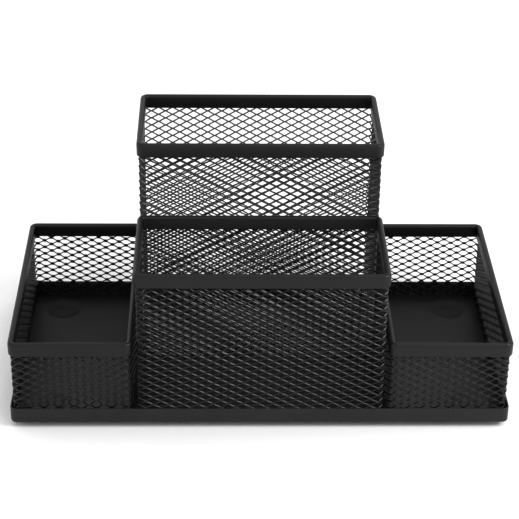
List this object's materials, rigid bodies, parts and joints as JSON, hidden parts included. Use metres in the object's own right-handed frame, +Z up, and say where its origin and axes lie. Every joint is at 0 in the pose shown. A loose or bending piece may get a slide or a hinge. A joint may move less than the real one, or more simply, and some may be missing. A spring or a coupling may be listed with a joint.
{
  "type": "desk organizer",
  "caption": "Black wire-mesh desk organizer: a tall rear cup, a lower front cup and a long shallow tray on each side, with folded steel rims on one shared base pan.",
  "frame": {"origin": "on the supporting surface, under the middle of the organizer", "axes": "+Z up, +X to the organizer's right as seen from its front, front towards -Y"},
  "size_m": [0.2058, 0.1044, 0.1045],
  "materials": {
    "black_powder_coat": "semi-matte black powder coat on pressed and folded sheet steel",
    "black_powder_coat_mesh": "semi-matte black powder coat on expanded steel mesh",
    "black_foam": "matt closed-cell foam"
  },
  "bodies": {
    "root": {"base_pan": "black_powder_coat", "foot_pad_front_left": "black_foam", "foot_pad_front_right": "black_foam", "foot_pad_rear_left": "black_foam", "foot_pad_rear_right": "black_foam", "left_tray_rim": "black_powder_coat", "left_tray_mesh_front": "black_powder_coat_mesh", "left_tray_mesh_back": "black_powder_coat_mesh", "left_tray_mesh_left": "black_powder_coat_mesh", "left_tray_mesh_right": "black_powder_coat_mesh", "right_tray_rim": "black_powder_coat", "right_tray_mesh_front": "black_powder_coat_mesh", "right_tray_mesh_back": "black_powder_coat_mesh", "right_tray_mesh_left": "black_powder_coat_mesh", "right_tray_mesh_right": "black_powder_coat_mesh", "front_cup_rim": "black_powder_coat", "front_cup_mesh_front": "black_powder_coat_mesh", "front_cup_mesh_back": "black_powder_coat_mesh", "front_cup_mesh_left": "black_powder_coat_mesh", "front_cup_mesh_right": "black_powder_coat_mesh", "rear_cup_rim": "black_powder_coat", "rear_cup_mesh_front": "black_powder_coat_mesh", "rear_cup_mesh_back": "black_powder_coat_mesh", "rear_cup_mesh_left": "black_powder_coat_mesh", "rear_cup_mesh_right": "black_powder_coat_mesh"}
  },
  "joints": []
}
